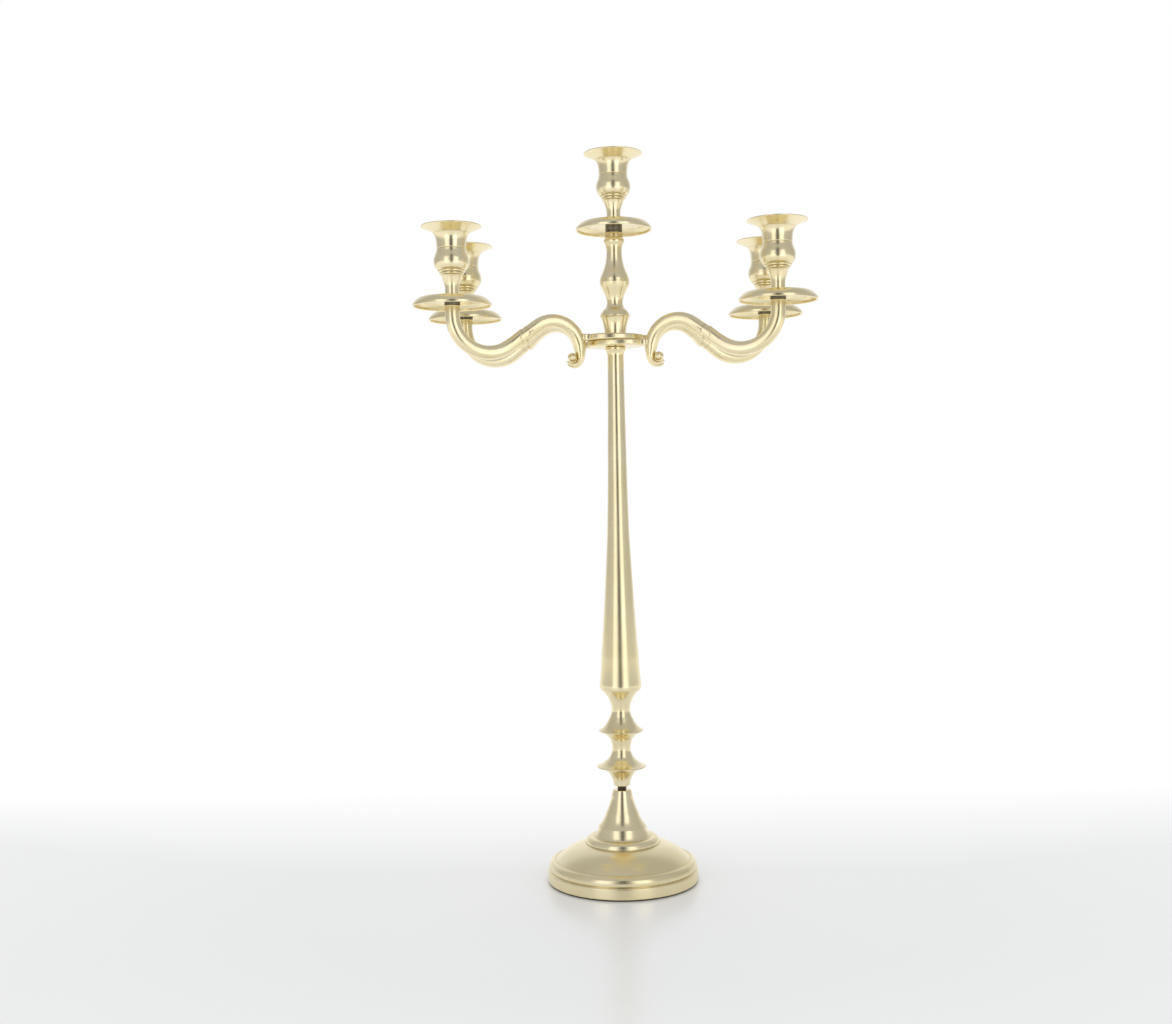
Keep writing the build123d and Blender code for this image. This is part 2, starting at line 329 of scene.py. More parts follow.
# ------------------------------------------------------------------ surfaces
@dataclass
class Patch:
    """A closed surface: its points, its faces and how deep in a hollow each point lies, which darkens the
    plate as painted shade.
    """

    points: np.ndarray
    faces: list[list[int]]
    hollow: np.ndarray

    def joined(self, other: "Patch") -> "Patch":
        """Put two closed surfaces in one mesh.

        Args:
            other: The surface to add.

        Returns:
            Both, with the second one's faces renumbered.
        """
        shift = len(self.points)
        faces = self.faces + [[i + shift for i in face] for face in other.faces]
        points = np.vstack([self.points, other.points])
        return Patch(points, faces, np.concatenate([self.hollow, other.hollow]))


def strip_faces(rows: int, columns: int, loop: bool) -> np.ndarray:
    """Number the quads of a grid that closes on itself along its columns.

    Args:
        rows: Number of rows of points.
        columns: Points in a row; the last joins the first.
        loop: Whether the last row joins the first.

    Returns:
        One row of four point numbers for each quad, turned outwards when the rows run with the
        metal on their left and the columns run anticlockwise.
    """
    row = np.arange(rows if loop else rows - 1)[:, None]
    column = np.arange(columns)[None, :]
    after = (column + 1) % columns
    above = (row + 1) % rows
    corners = (row * columns + column, row * columns + after,
               above * columns + after, above * columns + column)
    return np.stack(np.broadcast_arrays(*corners), axis=-1).reshape(-1, 4)


def grid_patch(grid: np.ndarray, loop: bool, hollow: np.ndarray | None = None) -> Patch:
    """Make a closed surface from a grid of points.

    A grid that doesn't loop is closed at each end by a fan of triangles round the middle of
    its end row.

    Args:
        grid: Rows by columns by three coordinates, in millimetres.
        loop: Whether the last row joins the first.
        hollow: Depth in a hollow for each point of the grid, 0 to 1.

    Returns:
        The surface, in metres.
    """
    rows, columns = grid.shape[:2]
    faces = strip_faces(rows, columns, loop).tolist()
    points = grid.reshape(-1, 3)
    depth = np.zeros(rows * columns) if hollow is None else hollow.reshape(-1)
    if not loop:
        around = np.arange(columns)
        after = (around + 1) % columns
        first, last = rows * columns, rows * columns + 1
        top = (rows - 1) * columns
        faces += np.stack([np.full(columns, first), after, around], axis=1).tolist()
        faces += np.stack([np.full(columns, last), top + around, top + after], axis=1).tolist()
        ends = np.stack([grid[0].mean(axis=0), grid[-1].mean(axis=0)])
        points = np.vstack([points, ends])
        depth = np.concatenate([depth, [0.0, 0.0]])
    return Patch(points * MM, faces, depth)


def smooth_line(values: np.ndarray, spread: float) -> np.ndarray:
    """Round a line's corners: each point becomes the bell-weighted mean of its neighbours.

    Args:
        values: Points by coordinates, evenly spaced, already padded at both ends.
        spread: Width of the bell in points.

    Returns:
        The rounded line, shorter by three widths at each end.
    """
    reach = int(math.ceil(3 * spread))
    steps = np.arange(-reach, reach + 1)
    bell = np.exp(-0.5 * (steps / spread) ** 2)
    bell /= bell.sum()
    columns = [np.convolve(values[:, c], bell, mode="valid") for c in range(values.shape[1])]
    return np.stack(columns, axis=1)


def evenly(points: np.ndarray, step: float) -> np.ndarray:
    """Space points evenly along a line by linear interpolation over its length.

    Args:
        points: Points by coordinates.
        step: Distance between the new points.

    Returns:
        The new points, ends included.
    """
    along = np.concatenate([[0.0], np.cumsum(np.linalg.norm(np.diff(points, axis=0), axis=1))])
    count = max(int(round(along[-1] / step)), 8) + 1
    stations = np.linspace(0.0, along[-1], count)
    columns = [np.interp(stations, along, points[:, c]) for c in range(points.shape[1])]
    return np.stack(columns, axis=1)


@dataclass(frozen=True)
class Outline:
    """Half section of a turned piece, drawn with the metal on its left.

    Each run is (radius, height) for a straight line or (radius, height, swell) for an arc that
    stands that far proud of its chord, or lies that far below it when negative.  An outline
    that starts and ends at radius 0 is solid at its middle; any other one closes on itself.
    """

    start: Point
    runs: tuple[Point, ...]
    edge: float = 0.35
    step: float = 0.12

    def traced(self) -> np.ndarray:
        """Draw the runs.  An arc is its chord plus sqrt(R^2 - x^2) - (R - swell) across it.

        Returns:
            Points by radius and height.
        """
        here = np.array(self.start, float)
        parts = [here[None, :]]
        closing = () if self.solid else (self.start,)
        for radius, height, *swell in (*self.runs, *closing):
            there = np.array((radius, height), float)
            chord = there - here
            length = float(np.linalg.norm(chord))
            share = np.linspace(0.0, 1.0, max(int(length / self.step), 2) + 1)[1:, None]
            line = here + share * chord
            if swell:
                proud = abs(swell[0])
                arc_radius = (length ** 2 / 4 + proud ** 2) / (2 * proud)
                x = (share - 0.5) * length
                lift = np.sqrt(arc_radius ** 2 - x ** 2) - (arc_radius - proud)
                outwards = np.array((chord[1], -chord[0])) / length
                line = line + math.copysign(1.0, swell[0]) * lift * outwards
            parts.append(line)
            here = there
        return np.vstack(parts)

    @property
    def solid(self) -> bool:
        """Whether the piece is solid at its middle."""
        return self.start[0] == 0.0

    def sampled(self, flat: float = 4.0, bend: float = 7.0) -> tuple[np.ndarray, np.ndarray]:
        """Round the corners and keep more points where the outline bends.

        Args:
            flat: Longest distance between points, in millimetres.
            bend: Largest turn between points, in degrees.

        Returns:
            Points by radius and height, and how deep in a hollow each lies, 0 to 1.
        """
        line = evenly(self.traced(), self.step)
        spread = self.edge / self.step
        reach = int(math.ceil(3 * spread))
        if self.solid:
            mirror = np.array((-1.0, 1.0))
            padded = np.vstack([line[reach:0:-1] * mirror, line, line[-2:-reach - 2:-1] * mirror])
        else:
            padded = np.vstack([line[-reach - 1:-1], line, line[1:reach + 1]])
        line = smooth_line(padded, spread)
        heading = np.unwrap(np.arctan2(*np.gradient(line, axis=0).T[::-1]))
        turn = np.gradient(heading)
        weight = np.abs(turn) / math.radians(bend) + self.step / flat
        total = np.concatenate([[0.0], np.cumsum((weight[1:] + weight[:-1]) / 2)])
        stations = np.linspace(0.0, total[-1], int(math.ceil(total[-1])) + 1)
        if not self.solid:
            stations = stations[:-1]
        picked = np.stack([np.interp(stations, total, line[:, c]) for c in range(2)], axis=1)
        # How deep in a hollow: later used to paint shade into the plate's colour.
        wide = np.convolve(-turn / self.step, np.ones(9) / 9, mode="same")
        hollow = np.interp(stations, total, np.clip(wide * 2.0 - 0.25, 0.0, 1.0))
        return picked, hollow

    def turned(self, centre: Point = (0.0, 0.0, 0.0), segments: int = 112) -> Patch:
        """Sweep the outline round a vertical axis: (r cos t, r sin t, z) for every t.

        Args:
            centre: Where the axis meets the outline's height 0, in millimetres.
            segments: Steps round the axis.

        Returns:
            The closed surface.
        """
        line, hollow = self.sampled()
        if self.solid:
            line, hollow = line[1:-1], hollow[1:-1]
        angle = np.linspace(0.0, 2 * math.pi, segments, endpoint=False)
        radius, height = line[:, :1], line[:, 1:]
        grid = np.stack([radius * np.cos(angle), radius * np.sin(angle),
                         np.broadcast_to(height, (len(line), segments))], axis=-1)
        depth = np.repeat(hollow[:, None], segments, axis=1)
        return grid_patch(grid + np.array(centre), not self.solid, depth)


def make_piece(name: str, patch: Patch, material: bpy.types.Material) -> bpy.types.Object:
    """Put a surface into a smooth-shaded mesh object at the origin.

    Args:
        name: The piece's name.
        patch: Its surface.
        material: Its finish.

    Returns:
        The new object.
    """
    mesh = bpy.data.meshes.new(name)
    mesh.from_pydata(patch.points.tolist(), [], patch.faces)
    mesh.polygons.foreach_set("use_smooth", np.ones(len(mesh.polygons), dtype=bool))
    depth = mesh.attributes.new("hollow", "FLOAT", "POINT")
    depth.data.foreach_set("value", patch.hollow.astype(np.float32))
    mesh.materials.append(material)
    mesh.update()
    piece = bpy.data.objects.new(name, mesh)
    bpy.context.scene.collection.objects.link(piece)
    return piece


def install(piece: bpy.types.Object, body: str, node: str | None = None) -> None:
    """Make a piece ride on its body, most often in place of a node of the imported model.

    Args:
        piece: The piece.
        body: The body that it moves with.
        node: The node that it replaces, if it isn't an added detail.
    """
    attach(piece, body)
    if node is not None:
        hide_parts(node)
    LOG.info("%s: %d faces on %s", piece.name, len(piece.data.polygons), body)


def node_box(node: str) -> tuple[np.ndarray, np.ndarray]:
    """Give the lowest and highest corner of a node, in millimetres."""
    low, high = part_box(node)
    return np.array(low) / MM, np.array(high) / MM


def node_foot(node: str) -> np.ndarray:
    """Give the middle of a node's underside, in millimetres."""
    low, high = node_box(node)
    return np.array(((low[0] + high[0]) / 2, (low[1] + high[1]) / 2, low[2]))


# ------------------------------------------------------------------ stand
@dataclass
class Base:
    """The round base and the felt under it."""

    finishes: Finishes
    wall: float = 4.0
    band: float = 11.0
    step: float = 1.6
    shoulder_height: float = 22.4
    dome_radius: float = 39.6
    dome_height: float = 39.6
    ring_radius: float = 31.0
    ring_height: float = 46.6
    neck_radius: float = 10.1
    stud_radius: float = BASE_STUD_HOLE
    felt_waves: int = 37

    def outline(self, radius: float, height: float) -> Outline:
        """Draw the base: band, quirk, torus, dome, ring and trumpet neck over a hollow underside.

        Args:
            radius: Radius of the band.
            height: Height of the base.

        Returns:
            The half section.
        """
        inner = radius - self.step
        dome_start = inner - 6.2
        ring = self.ring_height
        return Outline((radius - self.wall, 0.0), (
            (radius - 0.8, 0.0),
            (radius, 0.9, 0.2),
            (radius, self.band),
            (inner - 0.3, self.band + 1.1, 0.2),
            (inner - 0.5, self.band + 2.0),
            (inner + 0.2, self.band + 3.4, 0.3),
            (dome_start + 1.4, self.shoulder_height, 1.9),
            (dome_start + 0.3, self.shoulder_height - 0.5),
            (dome_start - 1.2, self.shoulder_height + 0.1),
            (self.dome_radius + 0.6, self.dome_height, 2.6),
            (self.dome_radius, self.dome_height + 0.9),
            (self.ring_radius + 0.8, ring, 2.6),
            (self.ring_radius - 0.6, ring + 0.3),
            (self.ring_radius - 1.3, ring + 1.1, 0.2),
            (25.8, 57.4, -0.5),
            (17.4, 72.2, -1.1),
            (11.3, 91.4, -0.8),
            (self.neck_radius, height - 0.7, -0.1),
            (self.neck_radius - 0.6, height),
            (self.stud_radius, height),
            (self.stud_radius, 56.5),
            (14.0, 56.5),
            (14.0, ring - self.wall),
            (self.dome_radius - self.wall, self.dome_height - self.wall),
            (dome_start - self.wall, self.shoulder_height - self.wall),
            (radius - self.wall, self.band),
        ), edge=0.3)

    def felt_patch(self, radius: float, thickness: float) -> Patch:
        """Make the felt: a disc whose cut edge bulges and wanders by a few tenths.

        The radius at angle t is R + 0.12 sin(n t) + 0.08 sin(2.6 n t) inside the edge.

        Args:
            radius: Radius of the disc.
            thickness: Its thickness.

        Returns:
            The closed surface.
        """
        line = Outline((0.0, 0.0), (
            (radius - 0.5, 0.0), (radius - 0.5, thickness, 0.25), (0.0, thickness),
        ), edge=0.15).sampled(flat=6.0)[0][1:-1]
        angle = np.linspace(0.0, 2 * math.pi, 240, endpoint=False)
        wander = 0.12 * np.sin(self.felt_waves * angle) + 0.08 * np.sin(2.6 * self.felt_waves * angle)
        reach = line[:, :1] + wander * (line[:, :1] / radius) ** 4
        grid = np.stack([reach * np.cos(angle), reach * np.sin(angle),
                         np.broadcast_to(line[:, 1:], reach.shape)], axis=-1)
        return grid_patch(grid, False)

    def build(self) -> None:
        """Build the base and its felt on the stand."""
        low, high = node_box("base")
        patch = self.outline(high[0], high[2] - low[2]).turned(node_foot("base"), segments=176)
        install(make_piece("base_casting", patch, self.finishes.turned), "stand", "base")
        low, high = node_box("base_felt")
        felt = make_piece("felt_disc", self.felt_patch(high[0], high[2] - low[2]), self.finishes.felt)
        install(felt, "stand", "base_felt")


@dataclass
class Stem:
    """The turned stem, and the threaded stud between it and the base."""

    finishes: Finishes
    foot_radius: float = 9.0
    disc: Point = (26.5, 21.2)
    waist: Point = (10.0, 40.2)
    ring: Point = (23.8, 60.0)
    throat: Point = (9.9, 82.0)
    shoulder: Point = (22.3, 107.2)
    neck: Point = (8.7, 463.5)
    stud_radius: float = BASE_STUD_HOLE
    thread_pitch: float = 1.5
    thread_depth: float = 0.8

    def outline(self, height: float) -> Outline:
        """Draw the stem: two sharp discs, a full shoulder, a long hollow taper and a top collar.

        Args:
            height: Height of the stem.

        Returns:
            The half section.
        """
        disc, disc_z = self.disc
        ring, ring_z = self.ring
        waist, waist_z = self.waist
        throat, throat_z = self.throat
        shoulder, shoulder_z = self.shoulder
        neck, neck_z = self.neck
        return Outline((0.0, 22.0), (
            (self.stud_radius, 22.0),
            (self.stud_radius, 0.0),
            (self.foot_radius - 1.4, 0.0),
            (self.foot_radius, 1.3, 0.35),
            (14.6, 14.6, -1.3),
            (disc - 0.2, disc_z - 0.8, -1.5),
            (disc - 0.2, disc_z + 0.5, 0.45),
            (16.4, disc_z + 6.2, -0.8),
            (11.4, disc_z + 12.9, -0.7),
            (waist, waist_z, -0.35),
            (11.0, waist_z + 7.4, -0.4),
            (14.6, waist_z + 13.4, -0.6),
            (ring - 0.2, ring_z - 0.7, -0.6),
            (ring - 0.2, ring_z + 0.5, 0.4),
            (16.5, ring_z + 6.4, -0.6),
            (12.6, ring_z + 13.2, -0.2),
            (throat, throat_z, -0.6),
            (11.8, throat_z + 9.7, -0.5),
            (15.6, throat_z + 16.3, -0.3),
            (21.1, throat_z + 22.0, -0.3),
            (shoulder, shoulder_z, 0.35),
            (shoulder, shoulder_z + 3.6, 0.15),
            (20.1, 139.5, -0.25),
            (12.1, 268.8, -0.35),
            (10.0, 365.5, -0.35),
            (neck, neck_z, -0.2),
            (10.4, neck_z + 5.6, -0.35),
            (10.8, neck_z + 7.4, 0.3),
            (10.7, height - 0.5, 0.15),
            (10.1, height),
            (HUB_STUD_HOLE, height),
            (HUB_STUD_HOLE, height - HUB_STUD_GRIP),
            (0.0, height - HUB_STUD_GRIP),
        ), edge=0.28)

    def thread_patch(self, radius: float, length: float) -> Patch:
        """Make a threaded rod: radius R - d |2 frac(z / p - t / 2 pi) - 1| at height z and angle t.

        Args:
            radius: Outer radius of the thread.
            length: Length of the rod.

        Returns:
            The closed surface.
        """
        height = np.linspace(0.0, length, int(length / self.thread_pitch * 8))[:, None]
        angle = np.linspace(0.0, 2 * math.pi, 48, endpoint=False)[None, :]
        phase = np.mod(height / self.thread_pitch - angle / (2 * math.pi), 1.0)
        reach = radius - self.thread_depth * np.abs(2 * phase - 1)
        grid = np.stack([reach * np.cos(angle), reach * np.sin(angle),
                         np.broadcast_to(height, reach.shape)], axis=-1)
        return grid_patch(grid, False)

    def build(self) -> None:
        """Build the stem and its lower stud on the stand."""
        low, high = node_box("stem")
        patch = self.outline(high[2] - low[2]).turned(node_foot("stem"), segments=104)
        install(make_piece("stem_turning", patch, self.finishes.turned), "stand", "stem")
        low, high = node_box("base_stud")
        rod = self.thread_patch(high[0], high[2] - low[2])
        rod.points += node_foot("base_stud") * MM
        install(make_piece("threaded_stud", rod, self.finishes.steel), "stand", "base_stud")


@dataclass
class CentrePost:
    """The turned post that carries the middle light."""

    finishes: Finishes
    foot: float = 11.3
    bell: Point = (15.9, 19.8)
    throat: Point = (8.5, 35.6)
    vase: Point = (15.8, 55.8)
    neck: Point = (8.2, 88.6)
    bead_height: float = 100.4
    collar: Point = (9.4, 109.2)
    shadow_ring: float = 9.0

    def outline(self, height: float) -> Outline:
        """Draw the post: a bell, a waisted vase, a bead and a plain collar under the pan.

        Args:
            height: Height of the post.

        Returns:
            The half section.
        """
        bell, bell_z = self.bell
        throat, throat_z = self.throat
        vase, vase_z = self.vase
        neck, neck_z = self.neck
        bead_z = self.bead_height
        collar, collar_z = self.collar
        return Outline((0.0, HUB_STUD_GRIP), (
            (HUB_STUD_HOLE, HUB_STUD_GRIP),
            (HUB_STUD_HOLE, 0.0),
            (self.foot - 0.6, 0.0),
            (self.foot, 0.8, 0.15),
            (12.7, 11.0, -0.2),
            (14.4, 16.5, -0.15),
            (bell, bell_z - 0.7, -0.2),
            (bell, bell_z + 0.7, 0.35),
            (12.9, 26.2, 0.3),
            (10.0, 29.0, -0.2),
            (throat, throat_z, -0.5),
            (10.0, 41.7, -0.2),
            (13.1, 48.2, -0.1),
            (vase, vase_z - 0.6, 0.3),
            (vase, vase_z + 0.8, 0.25),
            (15.0, 61.6, 0.25),
            (12.6, 67.6, 0.1),
            (10.2, 74.2, -0.15),
            (neck, neck_z, -0.45),
            (8.6, neck_z + 5.0, -0.1),
            (9.9, bead_z - 3.2, -0.25),
            (9.9, bead_z + 2.6, 1.15),
            (collar, bead_z + 2.9),
            (collar, collar_z - 0.4),
            (collar - 0.5, collar_z),
            (CUP_STUD_HOLE, collar_z),
            (CUP_STUD_HOLE, height - CUP_STUD_GRIP),
            (0.0, height - CUP_STUD_GRIP),
        ), edge=0.25)

    def build(self) -> None:
        """Build the post on the stand."""
        low, high = node_box("centre_post")
        patch = self.outline(high[2] - low[2]).turned(node_foot("centre_post"), segments=104)
        install(make_piece("post_turning", patch, self.finishes.turned), "stand", "centre_post")
        # A dark ring under the centre pan stands in for the shadow in the gap there.
        thickness = high[2] - low[2] - self.collar[1]
        ring = ShadowRing("centre", self.finishes, radius=self.shadow_ring, height=thickness)
        ring.build("stand", np.array((0.0, 0.0, high[2])))


@dataclass
class ShadowRing:
    """A dark ring that a drip pan rests on, put there as painted shade for the shadowed gap under the pan."""

    name: str
    finishes: Finishes
    radius: float = 8.2
    height: float = 2.9
    bore: float = CUP_STUD_HOLE

    def build(self, body: str, top: np.ndarray) -> None:
        """Build the ring on its body.

        Args:
            body: The body that it moves with.
            top: The middle of the pan's underside.
        """
        outline = Outline((self.bore, 0.0), (
            (self.radius, 0.0),
            (self.radius, self.height),
            (self.bore, self.height),
        ), edge=0.2)
        ring = outline.turned(top - (0.0, 0.0, self.height), segments=72)
        # The dark steel finish here is painted shade for the gap under the pan.
        install(make_piece(f"{self.name}_shadow_ring", ring, self.finishes.steel), body)


# ------------------------------------------------------------------ lights
@dataclass
class Light:
    """A drip pan and a candle cup at one candle's place."""

    name: str
    body: str
    finishes: Finishes
    wall: float = 2.2
    crest: Point = (33.4, 9.1)
    floor: Point = (26.6, 6.5)
    skirt: float = 2.5
    bore: float = 11.5

    def pan_outline(self, radius: float) -> Outline:
        """Draw the pan: a shallow dish whose rim rolls over and hangs down as a skirt.

        Args:
            radius: Radius of the skirt.

        Returns:
            The half section.
        """
        crest, crest_z = self.crest
        floor, floor_z = self.floor
        wall = self.wall
        return Outline((radius - wall, 0.3), (
            (radius - 0.5, 0.0, 0.2),
            (radius, 0.7, 0.2),
            (radius, self.skirt),
            (crest, crest_z, 0.7),
            (floor + 1.0, floor_z, -0.9),
            (floor, floor_z + 0.25),
            (floor - 1.2, floor_z),
            (3.25, floor_z),
            (3.25, floor_z - wall),
            (floor - 1.0, floor_z - wall),
            (floor, floor_z - wall - 0.45),
            (floor + 1.2, floor_z - wall + 0.1),
            (crest, crest_z - wall, 0.9),
            (radius - wall, self.skirt, -0.6),
        ), edge=0.22)

    def cup_outline(self, height: float, rim: float) -> Outline:
        """Draw the cup: a slim foot with fine rings, a bulb, a quirked waist and a bell mouth.

        Args:
            height: Height of the cup.
            rim: Radius of its rim.

        Returns:
            The half section.
        """
        return Outline((0.0, CUP_STUD_GRIP), (
            (CUP_STUD_HOLE, CUP_STUD_GRIP),
            (CUP_STUD_HOLE, 0.0),
            (10.6, 0.0),
            (11.0, 0.7, 0.15),
            (10.4, 1.5, 0.2),
            (7.4, 7.6, -1.2),
            (7.5, 14.6, -0.15),
            (9.1, 20.4, -0.15),
            (11.3, 26.0, -0.2),
            (11.9, 26.3),
            (12.5, 27.4, 0.15),
            (12.4, 28.0),
            (13.3, 28.6, 0.1),
            (14.2, 29.8, 0.15),
            (14.2, 30.4),
            (16.9, 33.9, 0.25),
            (18.5, 40.0, 0.35),
            (18.0, 43.6, 0.15),
            (16.6, 47.4, 0.1),
            (15.4, 51.6, -0.15),
            (15.3, 52.4),
            (14.7, 52.9),
            (15.2, 53.5),
            (15.8, 61.6, -0.15),
            (18.5, 69.0, -0.4),
            (24.0, 72.3, -0.2),
            (rim - 0.5, 75.3, -0.1),
            (rim, height - 0.8, 0.15),
            (rim - 0.5, height, 0.15),
            (rim - 2.0, height - 0.3, 0.1),
            (25.2, 74.0, 0.1),
            (19.4, 70.9, 0.15),
            (15.4, 66.0, 0.3),
            (12.8, 58.0, 0.2),
            (self.bore, 54.6, 0.15),
            (self.bore, 33.0),
            (0.0, 33.0),
        ), edge=0.22)

    def build(self) -> None:
        """Build the pan and the cup on their body."""
        pan_node, cup_node = f"{self.name}_pan", f"{self.name}_cup"
        low, high = node_box(pan_node)
        pan = self.pan_outline((high[0] - low[0]) / 2).turned(node_foot(pan_node), segments=144)
        piece = make_piece(f"{self.name}_drip_pan", pan, self.finishes.turned)
        install(piece, self.body, pan_node)
        low, high = node_box(cup_node)
        outline = self.cup_outline(high[2] - low[2], (high[0] - low[0]) / 2 - 0.3)
        cup = outline.turned(node_foot(cup_node), segments=120)
        piece = make_piece(f"{self.name}_candle_cup", cup, self.finishes.turned)
        install(piece, self.body, cup_node)


# ------------------------------------------------------------------ arms
@dataclass
class ArmPath:
    """Centreline of one scrolled arm in its own plane: radius from the stem and height."""

    reach: float
    top: float
    bowl_z: float
    root: float = 40.5
    arch: float = 29.4
    slope: float = 35.6
    bowl: float = 38.0
    curl_turn: float = 140.0
    curl_start: float = 8.6
    curl_end: float = 7.2
    curl_drop: float = 9.0

    @property
    def arch_centre(self) -> Point:
        """Centre of the arch, from which a straight run of the given slope touches the bowl."""
        slope = math.radians(self.slope)
        along = self.reach - self.bowl - self.root - self.arch
        rise = (self.arch + self.bowl - along * math.sin(slope)) / math.cos(slope)
        return self.root + self.arch, self.bowl_z - rise

    @property
    def curl_centre(self) -> Point:
        """Centre of the curl beside the hub."""
        return self.root + self.curl_start, self.arch_centre[1] - self.curl_drop

    def points(self) -> np.ndarray:
        """Draw the line: an inward curl, an arch, a straight run, a bowl and an upright end.

        The curl is a spiral whose radius falls evenly with its angle; the rest are arcs of a
        circle and straight lines that meet without a corner.

        Returns:
            Points by radius and height, from the tip of the curl to the end of the arm.
        """
        slope = math.radians(self.slope)
        bowl_x = self.reach - self.bowl
        arch_x, arch_z = self.arch_centre
        curl_x, curl_z = self.curl_centre
        turn = np.radians(np.linspace(180.0 + self.curl_turn, 180.0, 60))
        share = np.linspace(1.0, 0.0, 60)
        radius = self.curl_start + (self.curl_end - self.curl_start) * share
        curl = np.stack([curl_x + radius * np.cos(turn), curl_z + radius * np.sin(turn)], axis=1)
        over = np.linspace(math.pi, math.pi / 2 - slope, 120)
        arch = np.stack([arch_x + self.arch * np.cos(over), arch_z + self.arch * np.sin(over)], axis=1)
        under = np.linspace(1.5 * math.pi - slope, 2 * math.pi, 140)
        bowl = np.stack([bowl_x + self.bowl * np.cos(under), self.bowl_z + self.bowl * np.sin(under)], axis=1)
        end = np.array([[self.reach, self.top]])
        line = evenly(np.vstack([curl, arch, bowl, end]), 0.25)
        reach = 24
        ends = np.stack([line[0] * 2 - line[reach:0:-1], line[-1] * 2 - line[-2:-reach - 2:-1]])
        return smooth_line(np.vstack([ends[0], line, ends[1]]), 8.0)


